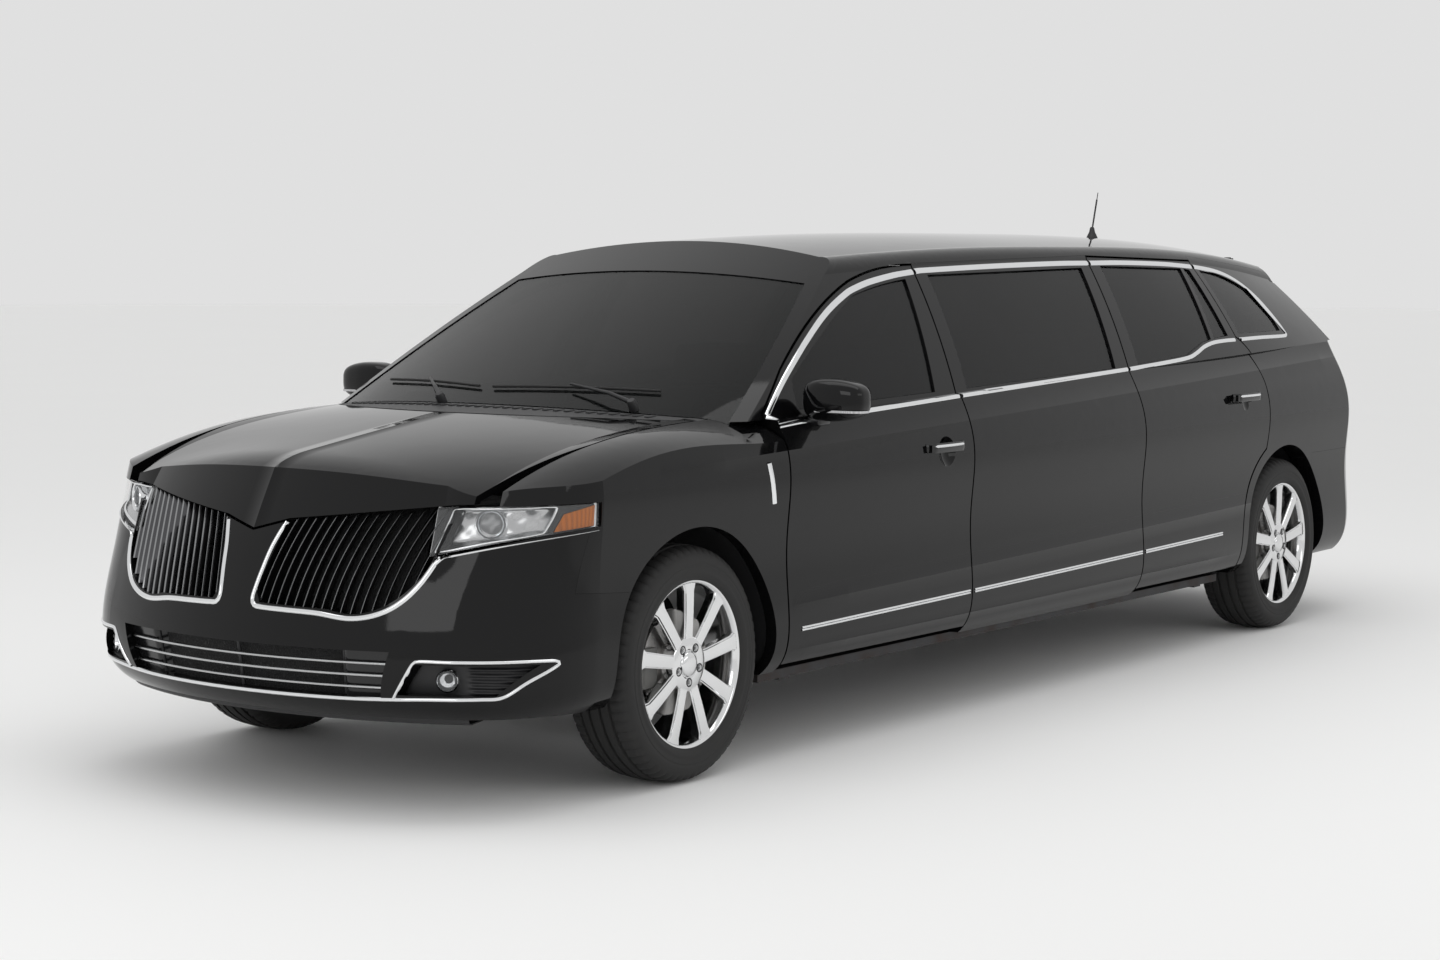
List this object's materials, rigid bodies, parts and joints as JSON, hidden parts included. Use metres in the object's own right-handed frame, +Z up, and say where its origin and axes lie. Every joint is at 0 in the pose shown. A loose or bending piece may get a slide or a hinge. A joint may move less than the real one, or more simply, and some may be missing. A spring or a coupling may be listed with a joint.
{
  "type": "stretch limousine",
  "caption": "black stretch limousine with opening doors, bonnet and tailgate, steered front wheels and a long fixed middle section",
  "frame": {"origin": "on the ground under the middle of the overall length", "axes": "+X towards the nose, +Y towards the left side, +Z up"},
  "size_m": [6.6481, 2.23, 1.8856],
  "materials": {
    "paint": "gloss black paint",
    "dark_glass": "dark tinted glass",
    "chrome": "polished chrome",
    "tyre_rubber": "black rubber",
    "lamp_glass": "clear lamp cover",
    "red_lens": "red lamp lens",
    "black_plastic": "grained black plastic",
    "black_leather": "black leather",
    "underbody": "black underbody coating",
    "iron": "dark castings",
    "steel_pipe": "dull steel pipe"
  },
  "bodies": {
    "body": {"antenna": "black_plastic", "centre_side_panels": "paint", "cowl": "black_plastic", "dashboard": "black_plastic", "engine_block": "iron", "exhaust": "steel_pipe", "fenders": "paint", "fixed_side_windows": "dark_glass", "floor_pan": "underbody", "fog_lamps": "lamp_glass", "front_bumper": "paint", "front_suspension": "iron", "headlamps": "lamp_glass", "hinge_brackets": "underbody", "lower_grille": "chrome", "quarter_panels": "paint", "rear_bumper": "paint", "rear_suspension": "iron", "roof": "paint", "seats": "black_leather", "tail_lamps": "red_lens", "upper_grille": "chrome", "wheelhouses": "black_plastic", "windscreen": "dark_glass", "wipers": "black_plastic"},
    "front_left_door": {"front_left_door": "paint", "front_left_window": "dark_glass", "left_mirror": "paint"},
    "front_left_wheel": {"front_left_tyre": "tyre_rubber", "front_left_rim": "chrome"},
    "front_right_door": {"front_right_door": "paint", "front_right_window": "dark_glass", "right_mirror": "paint"},
    "front_right_wheel": {"front_right_tyre": "tyre_rubber", "front_right_rim": "chrome"},
    "rear_left_door": {"rear_left_door": "paint", "rear_left_window": "dark_glass"},
    "rear_left_wheel": {"rear_left_tyre": "tyre_rubber", "rear_left_rim": "chrome"},
    "rear_right_door": {"rear_right_door": "paint", "rear_right_window": "dark_glass"},
    "rear_right_wheel": {"rear_right_tyre": "tyre_rubber", "rear_right_rim": "chrome"},
    "bonnet": {"hood": "paint"},
    "tailgate": {"tailgate": "paint", "tailgate_window": "dark_glass"},
    "left_knuckle": {"left_knuckle": "iron"},
    "right_knuckle": {"right_knuckle": "iron"},
    "steering_wheel": {"steering_wheel": "black_plastic"}
  },
  "joints": [
    {"name": "front_left_door_hinge", "type": "hinge", "parent": "body", "child": "front_left_door", "pos_m": [1.6875, 0.93094, 0.72], "axis": [0, 0, -1], "range_deg": [0, 65]},
    {"name": "front_right_door_hinge", "type": "hinge", "parent": "body", "child": "front_right_door", "pos_m": [1.6875, -0.93094, 0.72], "axis": [0, 0, 1], "range_deg": [0, 65]},
    {"name": "rear_left_door_hinge", "type": "hinge", "parent": "body", "child": "rear_left_door", "pos_m": [-0.8025, 0.93723, 0.72], "axis": [0, 0, -1], "range_deg": [0, 65]},
    {"name": "rear_right_door_hinge", "type": "hinge", "parent": "body", "child": "rear_right_door", "pos_m": [-0.8025, -0.93723, 0.72], "axis": [0, 0, 1], "range_deg": [0, 65]},
    {"name": "bonnet_hinge", "type": "hinge", "parent": "body", "child": "bonnet", "pos_m": [2.0475, 0, 1.083], "axis": [0, -1, 0], "range_deg": [0, 55]},
    {"name": "tailgate_hinge", "type": "hinge", "parent": "body", "child": "tailgate", "pos_m": [-2.6175, 0, 1.585], "axis": [0, 1, 0], "range_deg": [0, 80]},
    {"name": "left_steering", "type": "hinge", "parent": "body", "child": "left_knuckle", "pos_m": [2.2675, 0.745, 0.369], "axis": [0, 0, 1], "range_deg": [-33, 33]},
    {"name": "right_steering", "type": "hinge", "parent": "body", "child": "right_knuckle", "pos_m": [2.2675, -0.745, 0.369], "axis": [0, 0, 1], "range_deg": [-33, 33]},
    {"name": "front_left_wheel_spin", "type": "hinge", "parent": "left_knuckle", "child": "front_left_wheel", "pos_m": [2.2675, 0.808, 0.369], "axis": [0, 1, 0], "continuous": true},
    {"name": "front_right_wheel_spin", "type": "hinge", "parent": "right_knuckle", "child": "front_right_wheel", "pos_m": [2.2675, -0.808, 0.369], "axis": [0, 1, 0], "continuous": true},
    {"name": "rear_left_wheel_spin", "type": "hinge", "parent": "body", "child": "rear_left_wheel", "pos_m": [-2.0995, 0.808, 0.369], "axis": [0, 1, 0], "continuous": true},
    {"name": "rear_right_wheel_spin", "type": "hinge", "parent": "body", "child": "rear_right_wheel", "pos_m": [-2.0995, -0.808, 0.369], "axis": [0, 1, 0], "continuous": true},
    {"name": "steering_wheel_turn", "type": "hinge", "parent": "body", "child": "steering_wheel", "pos_m": [1.2575, 0.38, 0.975], "axis": [-0.9063, 0, 0.4226], "range_deg": [-495, 495]}
  ],
  "couplings": [
    {"joint": "right_steering", "follows": "left_steering", "ratio": 1},
    {"joint": "steering_wheel_turn", "follows": "left_steering", "ratio": 15}
  ]
}
